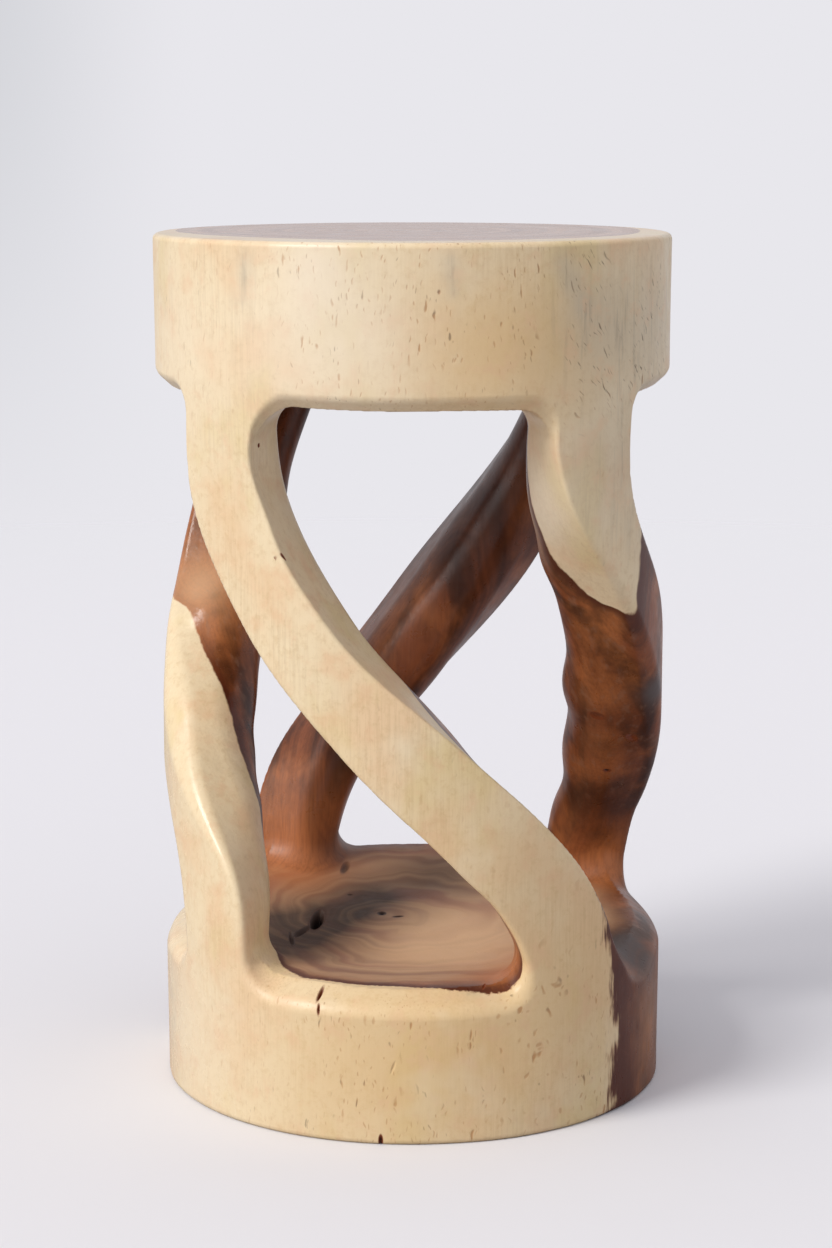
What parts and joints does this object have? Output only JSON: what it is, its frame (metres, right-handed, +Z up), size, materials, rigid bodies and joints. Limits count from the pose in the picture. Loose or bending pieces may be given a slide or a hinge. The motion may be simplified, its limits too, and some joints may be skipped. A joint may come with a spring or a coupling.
{
  "type": "carved log stool",
  "caption": "Round stool carved from one log: thick round seat and base joined by four struts that lean a quarter turn round a hollow core.",
  "frame": {"origin": "centre of the round underside, on the floor", "axes": "+Z up along the log's axis, -Y towards the front window, +X to the right of the front"},
  "size_m": [0.3, 0.3, 0.5],
  "materials": {
    "log_wood": "satin clear lacquer over cream sapwood and red-brown heartwood"
  },
  "bodies": {
    "root": {"seat": "log_wood", "base": "log_wood", "strut_front": "log_wood", "strut_right": "log_wood", "strut_back": "log_wood", "strut_left": "log_wood"}
  },
  "joints": []
}
